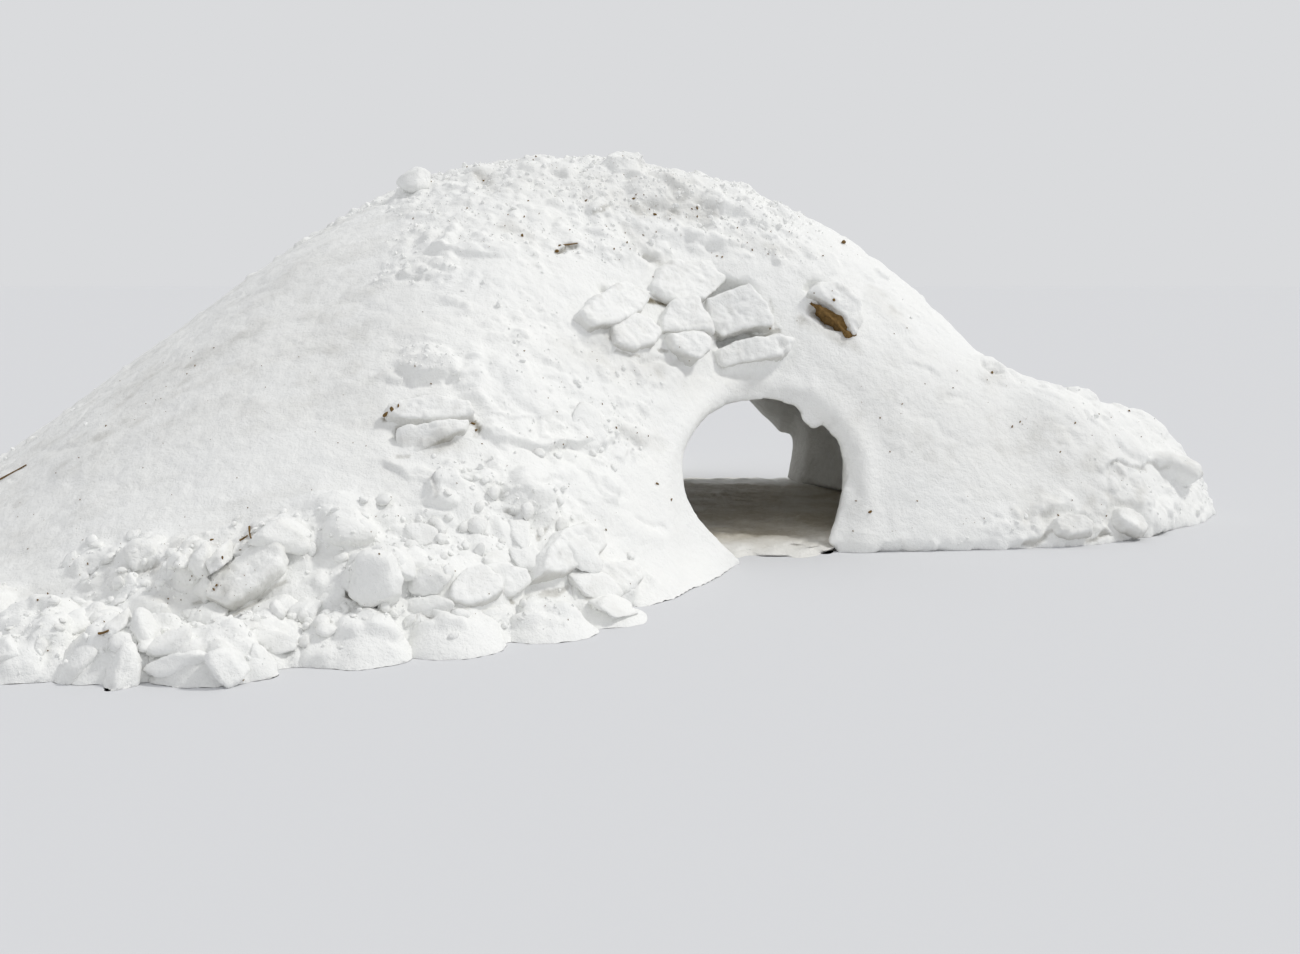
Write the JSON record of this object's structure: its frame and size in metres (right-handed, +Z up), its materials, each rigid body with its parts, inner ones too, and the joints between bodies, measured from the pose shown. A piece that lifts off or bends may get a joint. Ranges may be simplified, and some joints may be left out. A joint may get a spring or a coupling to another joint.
{
  "type": "snow cave",
  "caption": "Mound of heaped snow, hollowed into a low chamber with a rounded doorway, a way out at the back, and loose blocks of packed snow lying on it.",
  "frame": {"origin": "on the ground, in the middle of the chamber floor", "axes": "+Z up, -Y out through the doorway, +X to the right as the doorway is faced, towards the low bank"},
  "size_m": [8.271, 7.911, 2.3666],
  "materials": {
    "heaped_snow": "matt, granular",
    "packed_snow": "matt, smooth where cut",
    "trodden_snow": "matt, trodden, gritty",
    "frozen_earth": "matt, crumbly"
  },
  "bodies": {
    "root": {"bank_crest_lumps": "packed_snow", "bank_end_slab": "packed_snow", "bank_foot_slabs": "packed_snow", "chamber_floor": "trodden_snow", "doorway_arch": "heaped_snow", "doorway_right_jamb": "heaped_snow", "earth_patch": "frozen_earth", "earth_slab": "packed_snow", "exit_arch": "heaped_snow", "foot_broad_lump": "packed_snow", "foot_end_block": "packed_snow", "foot_faced_block": "packed_snow", "foot_leaning_slab": "packed_snow", "foot_middle_lump": "packed_snow", "foot_round_lump": "packed_snow", "foot_small_lumps": "packed_snow", "foot_speckled_lump": "packed_snow", "foot_upper_lump": "packed_snow", "foot_wedge_block": "packed_snow", "front_left_flank": "heaped_snow", "front_left_shoulder": "heaped_snow", "front_lumps": "packed_snow", "ledge_slab": "packed_snow", "left_end_lumps": "packed_snow", "left_front_lumps": "packed_snow", "left_ledge_slab": "packed_snow", "left_ledge_under_slab": "packed_snow", "left_outer_lumps": "packed_snow", "left_slab": "packed_snow", "left_small_block": "packed_snow", "lower_middle_block": "packed_snow", "mound_top": "heaped_snow", "rear_left_flank": "heaped_snow", "rear_left_wall": "heaped_snow", "rear_right_wall": "heaped_snow", "right_bank": "heaped_snow", "right_block": "packed_snow", "right_wall": "heaped_snow", "shoulder_lumps": "packed_snow", "tilted_foot_slab": "packed_snow", "top_left_block": "packed_snow", "top_ridge_blocks": "packed_snow", "upper_middle_block": "packed_snow", "wide_top_slab": "packed_snow"}
  },
  "joints": []
}
